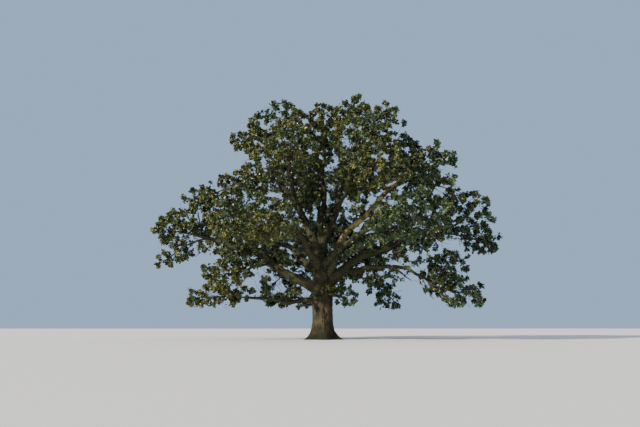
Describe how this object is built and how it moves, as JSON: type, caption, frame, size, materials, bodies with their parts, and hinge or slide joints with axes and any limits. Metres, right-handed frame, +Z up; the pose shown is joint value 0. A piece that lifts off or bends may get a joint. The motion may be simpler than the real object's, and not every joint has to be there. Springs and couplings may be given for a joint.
{
  "type": "oak tree",
  "caption": "Broad, open-grown oak in full leaf: a stout trunk with a flared foot, spreading crooked boughs, and a wide domed crown of leafy masses with gaps between them.",
  "frame": {"origin": "middle of the flat cut under the trunk, at ground level", "axes": "+Z up the trunk; +X to the right of the tree as seen from its front; the front faces -Y"},
  "size_m": [27.4462, 19.58, 19.2671],
  "materials": {
    "bark": "rough, deeply furrowed grey-brown bark",
    "leaves": "matt dark olive-green leaves"
  },
  "bodies": {
    "root": {"trunk": "bark", "left_bough": "bark", "left_front_bough": "bark", "left_inner_bough": "bark", "left_leader": "bark", "left_low_bough": "bark", "left_rear_bough": "bark", "lowest_left_bough": "bark", "middle_leader": "bark", "rear_bough": "bark", "right_bough": "bark", "right_drooping_bough": "bark", "right_front_bough": "bark", "right_hanging_bough": "bark", "right_leader": "bark", "right_low_bough": "bark", "right_middle_leader": "bark", "right_rear_bough": "bark", "upper_left_bough": "bark", "upper_left_front_bough": "bark", "upper_rear_bough": "bark", "upper_right_front_bough": "bark", "left_bough_foliage_1": "leaves", "left_bough_foliage_2": "leaves", "left_bough_foliage_3": "leaves", "left_front_bough_foliage_1": "leaves", "left_front_bough_foliage_2": "leaves", "left_inner_bough_foliage_1": "leaves", "left_leader_foliage_1": "leaves", "left_leader_foliage_2": "leaves", "left_low_bough_foliage_1": "leaves", "left_rear_bough_foliage_1": "leaves", "left_rear_bough_foliage_2": "leaves", "lowest_left_bough_foliage_1": "leaves", "middle_leader_foliage_1": "leaves", "middle_leader_foliage_2": "leaves", "rear_bough_foliage_1": "leaves", "right_bough_foliage_1": "leaves", "right_bough_foliage_2": "leaves", "right_drooping_bough_foliage_1": "leaves", "right_drooping_bough_foliage_2": "leaves", "right_front_bough_foliage_1": "leaves", "right_front_bough_foliage_2": "leaves", "right_hanging_bough_foliage_1": "leaves", "right_leader_foliage_1": "leaves", "right_leader_foliage_2": "leaves", "right_leader_foliage_3": "leaves", "right_middle_leader_foliage_1": "leaves", "right_middle_leader_foliage_2": "leaves", "right_rear_bough_foliage_1": "leaves", "right_rear_bough_foliage_2": "leaves", "trunk_foliage_1": "leaves", "trunk_foliage_2": "leaves", "upper_left_bough_foliage_1": "leaves", "upper_left_front_bough_foliage_1": "leaves", "upper_left_front_bough_foliage_2": "leaves", "upper_rear_bough_foliage_1": "leaves", "upper_rear_bough_foliage_2": "leaves", "upper_right_front_bough_foliage_1": "leaves", "upper_right_front_bough_foliage_2": "leaves"}
  },
  "joints": []
}
